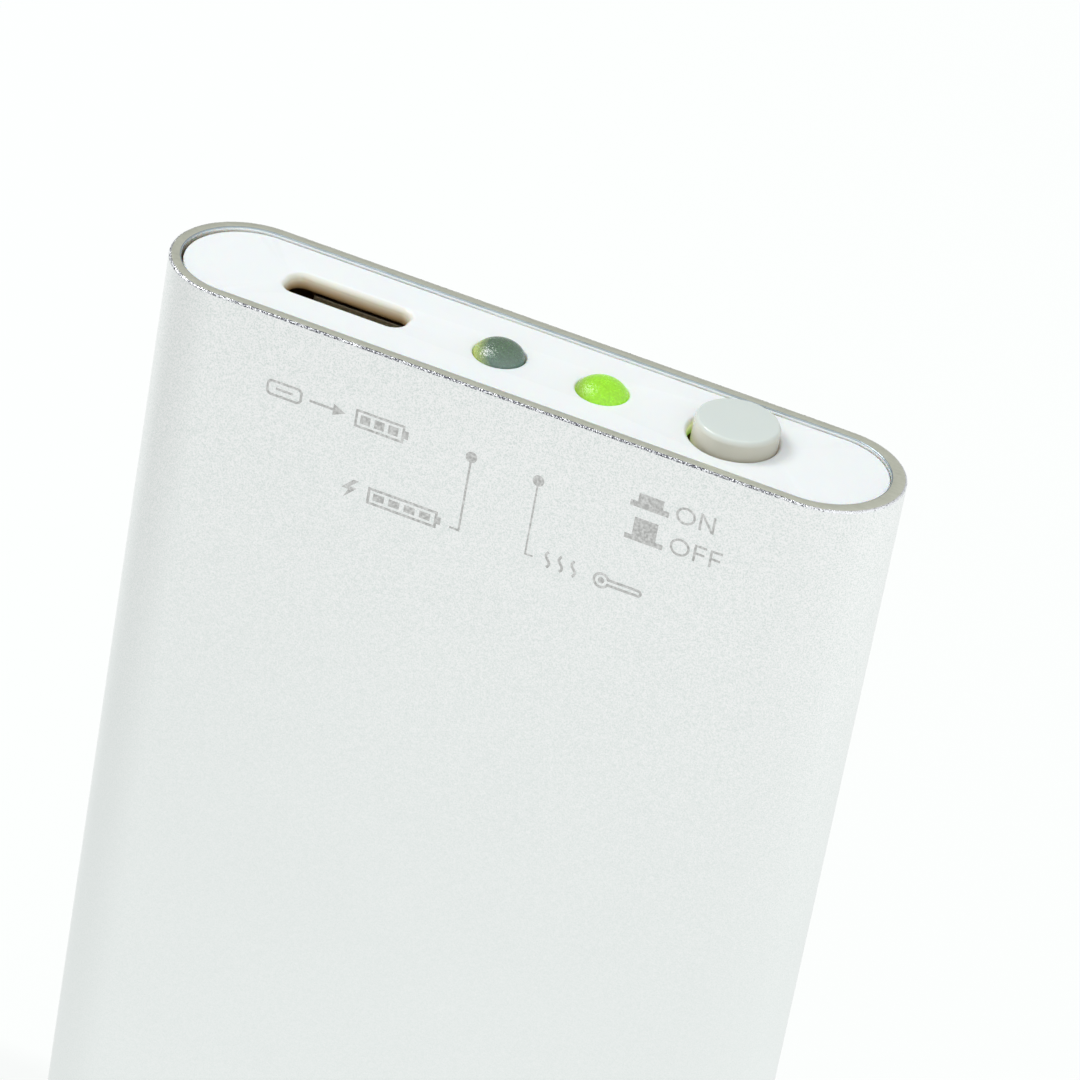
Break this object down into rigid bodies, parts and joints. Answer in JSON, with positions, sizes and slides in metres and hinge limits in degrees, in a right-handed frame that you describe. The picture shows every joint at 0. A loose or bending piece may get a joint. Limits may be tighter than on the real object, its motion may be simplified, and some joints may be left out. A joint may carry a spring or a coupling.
{
  "type": "rechargeable hand warmer",
  "caption": "Slim pocket hand warmer: an aluminium sleeve with round edges, a white end cap with a charging slot, indicator lamps and a latching push button.",
  "frame": {"origin": "centre of the lower rim, at the end away from the controls", "axes": "+Z along the body towards the control end, +X across the width towards the button, -Y out of the printed face"},
  "size_m": [0.044, 0.0092, 0.0989],
  "materials": {
    "satin_aluminium": "bead-blasted and clear anodised",
    "white_plastic": "glossy, slightly translucent white",
    "light_grey_plastic": "glossy light grey",
    "lit_lamp": "frosted green, lit",
    "unlit_lamp": "frosted, unlit",
    "plated_steel": "plated",
    "tinned_copper": "tinned",
    "gold_plate": "gold plated",
    "black_plastic": "moulded",
    "natural_plastic": "moulded",
    "board": "green solder mask",
    "battery_pouch": "laminate pouch",
    "amber_film": "polyimide film",
    "grey_foam": "closed-cell foam",
    "red_insulation": "insulated wire",
    "black_insulation": "insulated wire",
    "white_insulation": "insulated wire",
    "brown_ceramic": "ceramic body with tinned ends"
  },
  "bodies": {
    "body": {"sleeve": "satin_aluminium", "top_cap": "white_plastic", "bottom_cap": "white_plastic", "inner_frame": "natural_plastic", "circuit_board": "board", "board_screw_left": "plated_steel", "board_screw_right": "plated_steel", "usb_shell": "plated_steel", "usb_insulator": "black_plastic", "usb_contact_1": "gold_plate", "usb_contact_2": "gold_plate", "usb_contact_3": "gold_plate", "usb_contact_4": "gold_plate", "usb_contact_5": "gold_plate", "led_charging": "unlit_lamp", "led_warming": "lit_lamp", "led_charging_lead_1": "tinned_copper", "led_charging_lead_2": "tinned_copper", "led_warming_lead_1": "tinned_copper", "led_warming_lead_2": "tinned_copper", "switch_housing": "black_plastic", "switch_spring": "plated_steel", "switch_latch_pin": "plated_steel", "switch_pin_1": "tinned_copper", "switch_pin_2": "tinned_copper", "switch_pin_3": "tinned_copper", "switch_pin_4": "tinned_copper", "switch_pin_5": "tinned_copper", "switch_pin_6": "tinned_copper", "battery_cell": "battery_pouch", "battery_board": "board", "battery_tab_positive": "tinned_copper", "battery_tab_negative": "tinned_copper", "battery_lead_red": "red_insulation", "battery_lead_black": "black_insulation", "heater_film_front": "amber_film", "heater_film_back": "amber_film", "foam_pad_front": "grey_foam", "foam_pad_back": "grey_foam", "foam_block": "grey_foam", "heater_lead_1": "white_insulation", "heater_lead_2": "white_insulation", "heater_lead_3": "white_insulation", "heater_lead_4": "white_insulation", "temperature_sensor": "black_plastic", "sensor_lead_1": "tinned_copper", "sensor_lead_2": "tinned_copper", "charge_chip": "black_plastic", "heater_transistor": "black_plastic", "resistor_1": "black_plastic", "resistor_2": "black_plastic", "resistor_3": "black_plastic", "resistor_4": "black_plastic", "capacitor_1": "brown_ceramic", "capacitor_2": "brown_ceramic", "capacitor_3": "brown_ceramic"},
    "button": {"button_cap": "light_grey_plastic", "switch_plunger": "black_plastic"}
  },
  "joints": [
    {"name": "button_press", "type": "slide", "parent": "body", "child": "button", "axis": [0, 0, 1], "range_m": [-0.0005, 0.0015], "stiffness_N_per_m": 300, "deforming": ["switch_spring"]}
  ]
}
